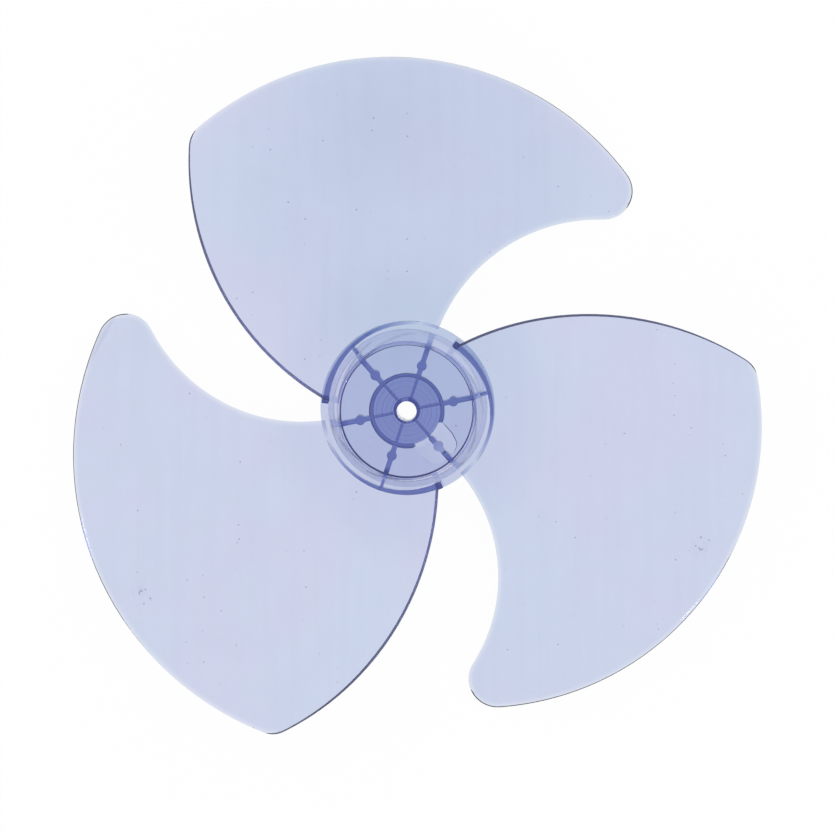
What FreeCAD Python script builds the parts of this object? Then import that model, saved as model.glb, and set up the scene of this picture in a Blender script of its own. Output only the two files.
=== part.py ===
# Three-bladed impeller of a pedestal fan, moulded in one piece of clear blue styrene plastic.
# Millimetres. The shaft axis is Z and +Z points out of the front of the fan, the way the air goes.
# The origin is on the shaft axis in the hub's front face, where the clamping nut seats.
# Angles are degrees, anticlockwise as seen from the front: from +X for the hub, and from the
# blade's own radial axis for the blade and its root wall.
import FreeCAD
import Part
import Sketcher
import math
import os

NODE = "fan_blade"
BLADES = 3
RIBS = 6
BROKEN_RIB = -360 / RIBS

# Driving sizes: name, value, meaning
SIZES = [
    ("blade_angle", 98.0, "direction of the first blade's radial axis, from +X"),
    ("blade_thickness", 2.0, "blade wall"),
    ("sheet_half_width", 150.0, "half width of the twisted sheet that the blade is trimmed from"),
    ("camber_rise", 8.6, "how far that sheet's sides rise above its middle"),
    ("root_station", 0.0, "inner section, from the shaft axis"),
    ("root_pitch", 15.0, "slope of the inner section"),
    ("root_level", -15.0, "height of the inner section"),
    ("middle_station", 95.0, "middle section, from the shaft axis"),
    ("middle_pitch", 13.4, "slope of the middle section"),
    ("middle_level", -14.5, "height of the middle section"),
    ("tip_station", 190.0, "outer section, from the shaft axis"),
    ("tip_pitch", 5.6, "slope of the outer section"),
    ("tip_level", -7.0, "height of the outer section"),
    ("tip_arc_radius", 148.0, "arc of the blade's outer end"),
    ("tip_arc_offset", 32.2, "distance of that arc's centre from the shaft axis"),
    ("tip_arc_angle", 9.1, "direction of that centre"),
    ("trailing_arc_radius", 143.0, "arc of the bulging trailing edge"),
    ("trailing_arc_offset", 131.4, "distance of that arc's centre from the shaft axis"),
    ("trailing_arc_angle", -22.6, "direction of that centre"),
    ("leading_arc_radius", 85.3, "arc of the hollow leading edge"),
    ("leading_arc_offset", 95.4, "distance of that arc's centre from the shaft axis"),
    ("leading_arc_angle", -92.5, "direction of that centre"),
    ("nose_radius", 14.5, "rounded nose between leading edge and outer end"),
    ("corner_radius", 5.5, "rounded corner between trailing edge and outer end"),
    ("wall_angle", -26.0, "where the root wall starts, at the leading edge"),
    ("wall_span", 100.0, "angle that the root wall covers"),
    ("wall_inner_clearance", 0.4, "root wall's inner face, a circle this much wider than the cup's rear"),
    ("wall_inner_offset", 2.3, "that circle's centre, off the axis towards wall_angle"),
    ("wall_outer_clearance", 2.9, "root wall's outer face, a circle this much wider than the cup's rear"),
    ("wall_outer_offset", 0.9, "that circle's centre, off the axis towards wall_angle"),
    ("wall_height", 6.0, "how far the root wall reaches down from the middle of the blade"),
    ("bore_radius", 5.0, "shaft bore"),
    ("sleeve_wall", 1.5, "wall of the sleeve round the bore"),
    ("sleeve_length", 15.0, "sleeve, front face to its rear end"),
    ("pad_radius", 17.2, "thick pad under the clamping nut"),
    ("pad_thickness", 7.4, "pad, front to back"),
    ("ring_wall", 1.6, "round wall behind the pad's edge"),
    ("ring_depth", 11.0, "front face to the rear of that wall"),
    ("floor_thickness", 3.7, "front wall of the cup"),
    ("cup_front_radius", 34.0, "outside of the cup at its front"),
    ("cup_rear_radius", 40.2, "outside of the cup where it meets the flange"),
    ("cup_wall", 1.8, "side wall of the cup, measured level"),
    ("hub_depth", 20.0, "front face to the rear of the flange"),
    ("flange_thickness", 2.2, "rear flange"),
    ("flange_width", 4.0, "how far the rear flange reaches out from the cup's rear"),
    ("rib_angle", 11.6, "direction of the first rib, from +X"),
    ("rib_thickness", 2.6, "ribs between ring and cup wall"),
    ("rib_depth", 9.8, "front face to the rear edge of the ribs"),
    ("rib_web", 1.8, "how far the ribs stand off the cup's side wall, measured level"),
    ("inner_rib_thickness", 1.4, "ribs between sleeve and ring"),
    ("inner_rib_depth", 10.8, "front face to the rear edge of those ribs"),
    ("boss_radius", 2.5, "round ejector boss on each rib"),
    ("boss_distance", 24.0, "boss from the shaft axis"),
    ("gusset_thickness", 1.6, "gusset between cup and root wall"),
    ("gusset_height", 7.0, "gusset above the flange"),
    ("pin_slot_width", 3.6, "slot in the sleeve's rear end for the shaft's cross pin"),
    ("pin_slot_depth", 5.0, "depth of that slot"),
    ("break_span", 57.0, "angle over which the round wall has broken away"),
    ("flake_end", 31.6, "outer end of the tongue-shaped flake lost from the floor, from the shaft axis"),
    ("flake_width", 17.2, "flake, across the last rib"),
    ("flake_corner", 5.0, "how much the flake's outer corners are cut off"),
    ("flake_depth", 1.0, "depth of the flake"),
    ("notch_start", 21.3, "start of the notch in the broken rib, from the shaft axis"),
    ("notch_end", 29.0, "end of that notch"),
    ("notch_depth", 6.0, "front face to the stump left in the notch"),
    ("notch_tooth", 1.6, "how far the stump's two ends stand up"),
]
START = {alias: value for alias, value, meaning in SIZES}

# Sizes that follow from the cup's rear
FLANGE_RADIUS = "Sizes.cup_rear_radius + Sizes.flange_width"
WALL_RADIUS = {face: f"Sizes.cup_rear_radius + Sizes.wall_{face}_clearance" for face in ("inner", "outer")}


def make_sheet(doc):
    sheet = doc.addObject("Spreadsheet::Sheet", "Sizes")
    for row, (alias, value, meaning) in enumerate(SIZES, start=1):
        sheet.set(f"A{row}", meaning)
        sheet.set(f"B{row}", str(value))
        sheet.setAlias(f"B{row}", alias)
    doc.recompute()


def plane(body, role):
    return next(item for item in body.Origin.OriginFeatures if item.Role == role)


def add_sketch(body, name, role):
    sketch = body.newObject("Sketcher::SketchObject", name)
    sketch.AttachmentSupport = [(plane(body, role), "")]
    sketch.MapMode = "FlatFace"
    return sketch


def measure(sketch, kind, place, start, formula):
    """Add one dimension and tie it to the sheet."""
    index = sketch.addConstraint(Sketcher.Constraint(kind, *place, start))
    sketch.setExpression(f"Constraints[{index}]", formula)


def pin_point(sketch, edge, end, across, up):
    """Hold one point of the sketch at a place that the sheet gives, starting from where it was drawn."""
    drawn = sketch.getPoint(edge, end)
    measure(sketch, "DistanceX", (-1, 1, edge, end), drawn.x, across)
    measure(sketch, "DistanceY", (-1, 1, edge, end), drawn.y, up)


def draw_polygon(sketch, corners):
    """A closed outline of straight lines, its corners given as pairs of formulas."""
    count = len(corners)
    turn = 2 * math.pi / count
    rough = [FreeCAD.Vector(math.cos(turn * i), math.sin(turn * i), 0) for i in range(count)]
    for i in range(count):
        sketch.addGeometry(Part.LineSegment(rough[i], rough[(i + 1) % count]))
    for i in range(count):
        sketch.addConstraint(Sketcher.Constraint("Coincident", i, 2, (i + 1) % count, 1))
    for i, (across, up) in enumerate(corners):
        pin_point(sketch, i, 1, across, up)


def draw_arc(sketch, radius, centre_x, centre_y, start, end):
    """A rough arc between two directions in degrees, to be held by dimensions afterwards."""
    circle = Part.Circle(FreeCAD.Vector(centre_x, centre_y, 0), FreeCAD.Vector(0, 0, 1), radius)
    return sketch.addGeometry(Part.ArcOfCircle(circle, math.radians(start), math.radians(end)))


def turn_about_shaft(item, formula):
    item.Placement = FreeCAD.Placement(FreeCAD.Vector(), FreeCAD.Rotation(FreeCAD.Vector(0, 0, 1), 1))
    item.setExpression("Placement.Rotation.Angle", formula)


def blade_section(body, place, above, below):
    """One cross-section of the twisted sheet: a strip between two arcs, hollow towards the front."""
    half_width, rise = START["sheet_half_width"], START["camber_rise"]
    left, right = FreeCAD.Vector(-half_width, rise, 0), FreeCAD.Vector(half_width, rise, 0)
    sketch = add_sketch(body, place.capitalize() + "Section", "YZ_Plane")
    arcs = []
    for level in (f"-({below})", above):
        arc = sketch.addGeometry(Part.Arc(left, FreeCAD.Vector(), right))
        middle = sketch.addGeometry(Part.Point(FreeCAD.Vector()), True)
        pin_point(sketch, arc, 1, "-Sizes.sheet_half_width", f"Sizes.camber_rise + {level}")
        pin_point(sketch, arc, 2, "Sizes.sheet_half_width", f"Sizes.camber_rise + {level}")
        pin_point(sketch, middle, 1, "0", level)
        sketch.addConstraint(Sketcher.Constraint("PointOnObject", middle, 1, arc))
        arcs.append(arc)
    for end, foot in ((1, left), (2, right)):
        side = sketch.addGeometry(Part.LineSegment(foot, foot + FreeCAD.Vector(0, 1, 0)))
        for side_end, arc in enumerate(arcs, start=1):
            sketch.addConstraint(Sketcher.Constraint("Coincident", side, side_end, arc, end))
    turned = FreeCAD.Rotation(FreeCAD.Vector(0, 0, 1), 1)
    sketch.AttachmentOffset = FreeCAD.Placement(FreeCAD.Vector(), turned)
    sketch.setExpression("AttachmentOffset.Base.y", f"Sizes.{place}_level")
    sketch.setExpression("AttachmentOffset.Base.z", f"Sizes.{place}_station")
    sketch.setExpression("AttachmentOffset.Rotation.Angle", f"Sizes.{place}_pitch")
    return sketch


def make_twisted_sheet(doc, name, above, below):
    """A loft through three sections, its front and rear given as distances from the blade's middle."""
    body = doc.addObject("PartDesign::Body", name)
    sections = [blade_section(body, place, above, below) for place in ("root", "middle", "tip")]
    loft = body.newObject("PartDesign::AdditiveLoft", name + "Loft")
    loft.Profile = sections[0]
    loft.Sections = sections[1:]
    return body


def is_upright(edge):
    first, last = edge.Vertexes[0].Point, edge.Vertexes[-1].Point
    return math.hypot(first.x - last.x, first.y - last.y) < 1e-6


def round_upright(body, name, pick, formula):
    """Round one upright edge of the prism, picked by its place across the blade."""
    base = body.Tip
    uprights = [i for i, edge in enumerate(base.Shape.Edges) if is_upright(edge)]
    chosen = pick(uprights, key=lambda i: base.Shape.Edges[i].Vertexes[0].Y)
    fillet = body.newObject("PartDesign::Fillet", name)
    fillet.Base = (base, [f"Edge{chosen + 1}"])
    fillet.setExpression("Radius", formula)


def make_outline(doc):
    """The blade seen from the front, as a tall prism: three arcs, the root wall's circle, two roundings."""
    body = doc.addObject("PartDesign::Body", "BladeOutline")
    sketch = add_sketch(body, "OutlineSketch", "XY_Plane")
    rough_directions = {"tip": (-76, 33), "trailing": (77, 140), "leading": (-30, 61)}
    arc = {}
    for edge, (start, end) in rough_directions.items():
        radius = START[edge + "_arc_radius"]
        offset = START[edge + "_arc_offset"]
        angle = math.radians(START[edge + "_arc_angle"])
        arc[edge] = draw_arc(sketch, radius, offset * math.cos(angle), offset * math.sin(angle), start, end)
        pin_point(sketch, arc[edge], 3, f"Sizes.{edge}_arc_offset * cos(Sizes.{edge}_arc_angle)",
                  f"Sizes.{edge}_arc_offset * sin(Sizes.{edge}_arc_angle)")
        measure(sketch, "Radius", (arc[edge],), radius, f"Sizes.{edge}_arc_radius")
    wall_start, wall_end = START["wall_angle"], START["wall_angle"] + START["wall_span"]
    root_radius = START["cup_rear_radius"] + START["wall_inner_clearance"]
    root = draw_arc(sketch, root_radius, 0, 0, wall_start, wall_end)
    pin_point(sketch, root, 3, "Sizes.wall_inner_offset * cos(Sizes.wall_angle)",
              "Sizes.wall_inner_offset * sin(Sizes.wall_angle)")
    measure(sketch, "Radius", (root,), root_radius, WALL_RADIUS["inner"])
    for joint in ((arc["tip"], 2, arc["trailing"], 1), (arc["trailing"], 2, root, 2),
                  (root, 1, arc["leading"], 2), (arc["leading"], 1, arc["tip"], 1)):
        sketch.addConstraint(Sketcher.Constraint("Coincident", *joint))
    pad = body.newObject("PartDesign::Pad", "OutlinePad")
    pad.Profile = sketch
    pad.Midplane = True
    pad.setExpression("Length", "2 * Sizes.sheet_half_width")
    doc.recompute()
    round_upright(body, "NoseRound", min, "Sizes.nose_radius")
    doc.recompute()
    round_upright(body, "CornerRound", max, "Sizes.corner_radius")
    return body


def make_blade(doc):
    """The twisted sheet trimmed to the outline."""
    body = make_twisted_sheet(doc, "Blade", "Sizes.blade_thickness / 2", "Sizes.blade_thickness / 2")
    outline = make_outline(doc)
    trim = body.newObject("PartDesign::Boolean", "TrimToOutline")
    trim.Type = "Common"
    trim.setObjects([outline])
    return body


def make_root_wall(doc):
    """The wall under the blade's root: it hangs from the blade, and stands on the flange where near it."""
    below = make_twisted_sheet(doc, "BelowBlade", "0", "Sizes.wall_height")
    ring = {}
    for face in ("outer", "inner"):
        ring[face] = doc.addObject("Part::Cylinder", f"RootWall{face.capitalize()}")
        ring[face].setExpression("Radius", WALL_RADIUS[face])
        ring[face].setExpression("Height", "Sizes.hub_depth * 2")
        turn_about_shaft(ring[face], "Sizes.wall_angle")
        ring[face].setExpression("Placement.Base.x", f"Sizes.wall_{face}_offset * cos(Sizes.wall_angle)")
        ring[face].setExpression("Placement.Base.y", f"Sizes.wall_{face}_offset * sin(Sizes.wall_angle)")
        ring[face].setExpression("Placement.Base.z", "-Sizes.hub_depth")
    ring["outer"].setExpression("Angle", "Sizes.wall_span")
    band = doc.addObject("Part::Cut", "RootWallBand")
    band.Base, band.Tool = ring["outer"], ring["inner"]
    wall = doc.addObject("Part::Common", "RootWall")
    wall.Base, wall.Tool = band, below
    return wall


def turn_section(body, name, corners):
    """A solid of revolution about the shaft, from a half section."""
    sketch = add_sketch(body, name + "Section", "XZ_Plane")
    draw_polygon(sketch, corners)
    solid = body.newObject("PartDesign::Revolution", name)
    solid.Profile = sketch
    solid.ReferenceAxis = (sketch, ["V_Axis"])


def make_cup(body):
    """Floor, sloping side wall and rear flange."""
    flange_front = "Sizes.flange_thickness - Sizes.hub_depth"
    turn_section(body, "Cup", [
        ("Sizes.bore_radius", "0"),
        ("Sizes.cup_front_radius", "0"),
        ("Sizes.cup_rear_radius", flange_front),
        (FLANGE_RADIUS, flange_front),
        (FLANGE_RADIUS, "-Sizes.hub_depth"),
        ("Sizes.cup_rear_radius - Sizes.cup_wall", "-Sizes.hub_depth"),
        ("Sizes.cup_front_radius - Sizes.cup_wall", "-Sizes.floor_thickness"),
        ("Sizes.bore_radius", "-Sizes.floor_thickness"),
    ])


def break_flake(body):
    """A shallow tongue-shaped flake lost from the back of the floor, from the pad out across the last rib."""
    sketch = add_sketch(body, "FlakeSketch", "XY_Plane")
    turned = FreeCAD.Rotation(FreeCAD.Vector(0, 0, 1), BROKEN_RIB)
    sketch.AttachmentOffset = FreeCAD.Placement(FreeCAD.Vector(), turned)
    sketch.setExpression("AttachmentOffset.Base.z", "-Sizes.floor_thickness")
    side = "Sizes.flake_width / 2"
    shoulder = "Sizes.flake_end - Sizes.flake_corner"
    draw_polygon(sketch, [
        ("Sizes.pad_radius / 2", f"-{side}"),
        (shoulder, f"-{side}"),
        ("Sizes.flake_end", f"-({side} - Sizes.flake_corner)"),
        ("Sizes.flake_end", f"{side} - Sizes.flake_corner"),
        (shoulder, side),
        ("Sizes.pad_radius / 2", side),
    ])
    flake = body.newObject("PartDesign::Pocket", "Flake")
    flake.Profile = sketch
    flake.Reversed = True
    flake.setExpression("Length", "Sizes.flake_depth")


def make_centre_boss(body):
    """Pad, round wall behind its edge, and sleeve."""
    sleeve = "Sizes.bore_radius + Sizes.sleeve_wall"
    ring = "Sizes.pad_radius + Sizes.ring_wall"
    inside_floor = "-Sizes.floor_thickness / 2"
    turn_section(body, "CentreBoss", [
        ("Sizes.bore_radius", inside_floor),
        (ring, inside_floor),
        (ring, "-Sizes.ring_depth"),
        ("Sizes.pad_radius", "-Sizes.ring_depth"),
        ("Sizes.pad_radius", "-Sizes.pad_thickness"),
        (sleeve, "-Sizes.pad_thickness"),
        (sleeve, "-Sizes.sleeve_length"),
        ("Sizes.bore_radius", "-Sizes.sleeve_length"),
    ])


def turn_to_broken_rib(sketch):
    turned = FreeCAD.Rotation(FreeCAD.Vector(0, 1, 0), BROKEN_RIB)
    sketch.AttachmentOffset = FreeCAD.Placement(FreeCAD.Vector(), turned)


def break_ring(body):
    """The stretch of the round wall that has broken away, centred on the last rib."""
    sketch = add_sketch(body, "RingBreakSection", "XZ_Plane")
    turn_to_broken_rib(sketch)
    stump = "Sizes.flake_depth - Sizes.floor_thickness"
    ring = "Sizes.pad_radius + Sizes.ring_wall"
    draw_polygon(sketch, [
        ("Sizes.pad_radius", stump),
        (f"{ring} + Sizes.ring_wall / 4", stump),
        (f"{ring} + Sizes.ring_wall / 4", "-Sizes.ring_depth - Sizes.ring_wall"),
        ("Sizes.pad_radius", "-Sizes.ring_depth - Sizes.ring_wall"),
    ])
    groove = body.newObject("PartDesign::Groove", "RingBreak")
    groove.Profile = sketch
    groove.ReferenceAxis = (sketch, ["V_Axis"])
    groove.Midplane = True
    groove.setExpression("Angle", "Sizes.break_span")


def cut_through_middle(body, name, sketch, length):
    """Cut a drawn shape out of the hub, evenly to both sides of its plane."""
    pocket = body.newObject("PartDesign::Pocket", name)
    pocket.Profile = sketch
    pocket.Midplane = True
    pocket.setExpression("Length", length)


def break_rib(body):
    """The notch broken out of the last rib, down to a jagged stump."""
    sketch = add_sketch(body, "NotchSketch", "XZ_Plane")
    turn_to_broken_rib(sketch)
    draw_polygon(sketch, [
        ("Sizes.notch_start", "-Sizes.hub_depth"),
        ("Sizes.notch_start", "-Sizes.notch_depth - Sizes.notch_tooth"),
        ("(Sizes.notch_start + 2 * Sizes.notch_end) / 3", "-Sizes.notch_depth"),
        ("Sizes.notch_end", "-Sizes.notch_depth - Sizes.notch_tooth"),
        ("Sizes.notch_end", "-Sizes.hub_depth"),
    ])
    cut_through_middle(body, "RibNotch", sketch, "2 * Sizes.boss_radius + Sizes.rib_thickness")


def cut_pin_slot(body):
    """The slot across the sleeve's rear end that the shaft's cross pin drops into."""
    sketch = add_sketch(body, "PinSlotSketch", "XZ_Plane")
    half = "Sizes.pin_slot_width / 2"
    slot_floor = "Sizes.pin_slot_depth - Sizes.sleeve_length"
    clear = "-Sizes.sleeve_length - Sizes.sleeve_wall"
    draw_polygon(sketch, [(f"-{half}", clear), (half, clear), (half, slot_floor), (f"-{half}", slot_floor)])
    cut_through_middle(body, "PinSlot", sketch, "2 * (Sizes.bore_radius + 2 * Sizes.sleeve_wall)")


def make_web(body, name, corners, thickness):
    """A flat radial web of the hub, symmetrical about the plane of the first rib."""
    sketch = add_sketch(body, name + "Sketch", "XZ_Plane")
    draw_polygon(sketch, corners)
    web = body.newObject("PartDesign::Pad", name)
    web.Profile = sketch
    web.Midplane = True
    web.setExpression("Length", thickness)
    return web


def repeat_round_shaft(body, name, features, count):
    pattern = body.newObject("PartDesign::PolarPattern", name)
    pattern.Originals = features
    pattern.Axis = (plane(body, "Z_Axis"), [""])
    pattern.Angle = 360
    pattern.Occurrences = count
    body.Tip = pattern


def make_hub(doc):
    body = doc.addObject("PartDesign::Body", "Hub")
    turn_about_shaft(body, "Sizes.rib_angle")
    make_cup(body)
    break_flake(body)
    make_centre_boss(body)
    ring_middle = "Sizes.pad_radius + Sizes.ring_wall / 2"
    sleeve_middle = "Sizes.bore_radius + Sizes.sleeve_wall / 2"
    floor_middle = "-Sizes.floor_thickness / 2"
    rib = make_web(body, "Rib", [
        (ring_middle, floor_middle),
        ("Sizes.cup_front_radius - Sizes.cup_wall / 2", floor_middle),
        ("Sizes.cup_rear_radius - Sizes.cup_wall / 2", "-Sizes.hub_depth"),
        ("Sizes.cup_rear_radius - Sizes.cup_wall - Sizes.rib_web", "-Sizes.hub_depth"),
        ("Sizes.cup_front_radius - Sizes.cup_wall - Sizes.rib_web", "-Sizes.rib_depth"),
        (ring_middle, "-Sizes.rib_depth"),
    ], "Sizes.rib_thickness")
    inner_rib = make_web(body, "InnerRib", [
        (sleeve_middle, floor_middle),
        (ring_middle, floor_middle),
        (ring_middle, "-Sizes.inner_rib_depth"),
        (sleeve_middle, "-Sizes.inner_rib_depth"),
    ], "Sizes.inner_rib_thickness")
    boss_sketch = add_sketch(body, "EjectorBossSketch", "XY_Plane")
    boss_sketch.addGeometry(Part.Circle(FreeCAD.Vector(), FreeCAD.Vector(0, 0, 1), 1))
    pin_point(boss_sketch, 0, 3, "Sizes.boss_distance", "0")
    measure(boss_sketch, "Radius", (0,), 1.0, "Sizes.boss_radius")
    boss = body.newObject("PartDesign::Pad", "EjectorBoss")
    boss.Profile = boss_sketch
    boss.Reversed = True
    boss.setExpression("Length", "Sizes.rib_depth")
    repeat_round_shaft(body, "RibPattern", [rib, inner_rib, boss], RIBS)
    break_ring(body)
    flange_top = "Sizes.flange_thickness - Sizes.hub_depth"
    wall_middle = f"{WALL_RADIUS['inner']} + Sizes.wall_inner_offset"
    gusset = make_web(body, "Gusset", [
        ("Sizes.cup_rear_radius - Sizes.cup_wall / 2", f"{flange_top} - Sizes.flange_thickness / 2"),
        (wall_middle, f"{flange_top} - Sizes.flange_thickness / 2"),
        (wall_middle, f"{flange_top} + Sizes.gusset_height"),
        ("Sizes.cup_front_radius - Sizes.cup_wall / 2", f"{flange_top} + Sizes.gusset_height"),
    ], "Sizes.gusset_thickness")
    repeat_round_shaft(body, "GussetPattern", [gusset], BLADES)
    break_rib(body)
    cut_pin_slot(body)
    return body


def make_fan(doc, hub, blade, wall):
    """Hub and three blades as one solid."""
    pieces = [hub]
    for number in range(BLADES):
        for part in (blade, wall):
            copy = doc.addObject("App::Link", f"{part.Name}{number + 1}")
            copy.LinkedObject = part
            turn_about_shaft(copy, f"Sizes.blade_angle + {number} * 360 / {BLADES}")
            pieces.append(copy)
    fan = doc.addObject("Part::MultiFuse", "Fan")
    fan.Label = NODE
    fan.Shapes = pieces
    fan.Refine = True
    return fan


def check(doc, fan):
    """Stop if any feature failed, or if the finished fan isn't one sound solid."""
    for item in doc.Objects:
        if "Invalid" in item.State or "Error" in item.State:
            raise RuntimeError(f"{item.Name} failed: {item.State}")
    if fan.Shape.isNull() or not fan.Shape.isValid() or len(fan.Shape.Solids) != 1:
        raise RuntimeError("the fan isn't one valid solid")


def main():
    doc = FreeCAD.newDocument("FanBlade")
    make_sheet(doc)
    blade = make_blade(doc)
    wall = make_root_wall(doc)
    hub = make_hub(doc)
    fan = make_fan(doc, hub, blade, wall)
    doc.recompute()
    check(doc, fan)
    os.makedirs("parts", exist_ok=True)
    fan.Shape.exportStep(f"parts/{fan.Label}.step")
    print(f"{fan.Label}: {fan.Shape.Volume / 1000:.1f} cm3")


main()
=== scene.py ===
# %% [markdown]
# # A worn fan blade in clear blue plastic
# The part is the impeller of a pedestal fan: three broad twisted blades round a ribbed, cup-shaped hub.
# It was injection-moulded in one shot, so everything here ends up as one closed mesh with one finish.
# That matters for clear plastic. A ray of light bends where it enters and leaves, and it loses colour all
# the way through, so two closed shells pushed into each other would show a false surface inside.

# %% Load the fixed frame
import bmesh
import bpy
import math
from mathutils import Matrix, Vector, noise
from mathutils.kdtree import KDTree


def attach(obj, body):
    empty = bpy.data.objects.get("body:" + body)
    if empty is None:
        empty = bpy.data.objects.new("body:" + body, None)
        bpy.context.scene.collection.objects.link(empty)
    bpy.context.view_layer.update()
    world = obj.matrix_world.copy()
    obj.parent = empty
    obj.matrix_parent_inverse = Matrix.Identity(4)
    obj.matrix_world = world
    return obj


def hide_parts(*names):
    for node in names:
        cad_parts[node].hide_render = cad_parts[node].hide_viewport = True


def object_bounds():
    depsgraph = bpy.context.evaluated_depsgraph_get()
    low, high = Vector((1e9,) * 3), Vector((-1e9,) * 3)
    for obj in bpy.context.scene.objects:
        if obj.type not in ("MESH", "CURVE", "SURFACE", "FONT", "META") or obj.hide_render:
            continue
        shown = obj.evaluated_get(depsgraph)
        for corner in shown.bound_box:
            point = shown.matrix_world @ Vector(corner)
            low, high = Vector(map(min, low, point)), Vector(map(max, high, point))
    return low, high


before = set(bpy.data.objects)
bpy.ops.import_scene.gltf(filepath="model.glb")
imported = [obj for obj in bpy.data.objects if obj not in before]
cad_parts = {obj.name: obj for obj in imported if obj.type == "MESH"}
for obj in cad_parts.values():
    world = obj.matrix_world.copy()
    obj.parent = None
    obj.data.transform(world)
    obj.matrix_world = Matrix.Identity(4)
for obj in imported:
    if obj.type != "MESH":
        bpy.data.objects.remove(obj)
cad_low, cad_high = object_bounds()
NODE = "fan_blade"
MM = 0.001
print("frame nodes:", sorted(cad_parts))

# %% [markdown]
# ## Working habits
# An operator acts on what is selected, so every step first says what that is. These few helpers make one
# object active, pick vertices, edges or faces by a test on their place, and add a modifier and apply it.


# %% Helpers for selecting and applying
def take(piece):
    """Make this the only selected object, and the active one."""
    bpy.ops.object.select_all(action="DESELECT")
    piece.select_set(True)
    bpy.context.view_layer.objects.active = piece


def name_new(name):
    """Name the object that an operator has just added."""
    piece = bpy.context.object
    piece.name = name
    piece.data.name = name
    return piece


def pick(piece, kind, test):
    """In edit mode, select just the verts, edges or faces that pass the test."""
    bpy.ops.mesh.select_mode(type={"verts": "VERT", "edges": "EDGE", "faces": "FACE"}[kind])
    bpy.ops.mesh.select_all(action="DESELECT")
    mesh = bmesh.from_edit_mesh(piece.data)
    for item in getattr(mesh, kind):
        if test(item):
            item.select_set(True)
    bmesh.update_edit_mesh(piece.data)


def finish_with(piece, kind, **settings):
    """Add a modifier with these settings and apply it."""
    take(piece)
    modifier = piece.modifiers.new(kind.title(), kind)
    for key, value in settings.items():
        setattr(modifier, key, value)
    bpy.ops.object.modifier_apply(modifier=modifier.name)


def face_outwards():
    """In edit mode, merge what lies in one place and turn every face outwards."""
    bpy.ops.mesh.select_all(action="SELECT")
    bpy.ops.mesh.remove_doubles(threshold=0.001 * MM)
    bpy.ops.mesh.normals_make_consistent(inside=False)


def copy_turned(piece, name, degrees):
    """A copy with its own mesh, turned about the shaft."""
    copy = bpy.data.objects.new(name, piece.data.copy())
    bpy.context.scene.collection.objects.link(copy)
    copy.data.transform(Matrix.Rotation(math.radians(degrees), 4, "Z"))
    return copy


def cut_or_join(piece, operation, tools):
    """Cut the tools out of a piece, or join them to it, as one closed mesh, and clear the tools away."""
    group = bpy.data.collections.new("tools")
    bpy.context.scene.collection.children.link(group)
    for tool in tools:
        group.objects.link(tool)
    finish_with(piece, "BOOLEAN", operation=operation, solver="EXACT",
                operand_type="COLLECTION", collection=group)
    for tool in tools:
        bpy.data.objects.remove(tool)
    bpy.data.collections.remove(group)


def tell(piece):
    """Print how many faces a piece has, how many of its edges are open, and its volume."""
    mesh = bmesh.new()
    mesh.from_mesh(piece.data)
    gaps = sum(1 for edge in mesh.edges if not edge.is_manifold)
    print(f"{piece.name}: {len(mesh.faces)} faces, {gaps} open edges, {mesh.calc_volume() * 1e6:.1f} cm3")
    mesh.free()


# %% [markdown]
# ## The blade's outline
# Seen from the front a blade is bounded by four arcs: a hollow leading edge, the outer end, a bulging
# trailing edge and the root on the hub. The nose and the outer corner are rounded. Everything is worked
# out in the first blade's own frame, where X runs out along the blade.
# The outline could be drawn as one big polygon. A grid that is stretched to the four edges is better,
# because its rows of quads then follow the edges, and a thin sheet bends smoothly along such rows.

# %% The four arcs and the two roundings
BLADES = 3
BLADE_ANGLE = 98


def polar(distance, degrees):
    """A point on the plane of the disc, by its distance from the shaft and its direction."""
    angle = math.radians(degrees)
    return Vector((distance * math.cos(angle), distance * math.sin(angle)))


TIP = (polar(32.2, 9.1) * MM, 148 * MM)
TRAILING = (polar(131.4, -22.6) * MM, 143 * MM)
LEADING = (polar(95.4, -92.5) * MM, 85.3 * MM)
WALL_START = -26
WALL_SPAN = 100
WALL_INNER = (polar(2.3, WALL_START) * MM, 40.6 * MM)
WALL_OUTER = (polar(0.9, WALL_START) * MM, 43.1 * MM)
ROOT_OVERLAP = 0.2 * MM
ROOT = (WALL_INNER[0], WALL_INNER[1] - ROOT_OVERLAP)
NOSE_ROUND = 14.5 * MM
CORNER_ROUND = 13 * MM


def meet(first, second):
    """Where two circles cross, on the left of the line from the first centre to the second."""
    line = second[0] - first[0]
    along = (line.length_squared + first[1] ** 2 - second[1] ** 2) / (2 * line.length)
    across = math.sqrt(first[1] ** 2 - along ** 2)
    ahead = line.normalized()
    return first[0] + ahead * along + Vector((-ahead.y, ahead.x)) * across


def on_circle(circle, towards):
    """The point of a circle that lies towards another point."""
    return circle[0] + (towards - circle[0]).normalized() * circle[1]


nose = (meet((TIP[0], TIP[1] - NOSE_ROUND), (LEADING[0], LEADING[1] + NOSE_ROUND)), NOSE_ROUND)
corner = (meet((TIP[0], TIP[1] - CORNER_ROUND), (TRAILING[0], TRAILING[1] - CORNER_ROUND)), CORNER_ROUND)
nose_lead = on_circle(LEADING, nose[0])
nose_tip = on_circle(TIP, nose[0])
corner_tip = on_circle(TIP, corner[0])
corner_trail = on_circle(TRAILING, corner[0])
root_lead = meet(ROOT, LEADING)
root_trail = meet(ROOT, TRAILING)
nose_point = on_circle(nose, nose_lead + nose_tip - nose[0])
corner_point = on_circle(corner, corner_tip + corner_trail - corner[0])
for label, point in (("nose", nose_point), ("corner", corner_point)):
    print(label, "at", [round(x / MM, 1) for x in point], "mm")

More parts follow.
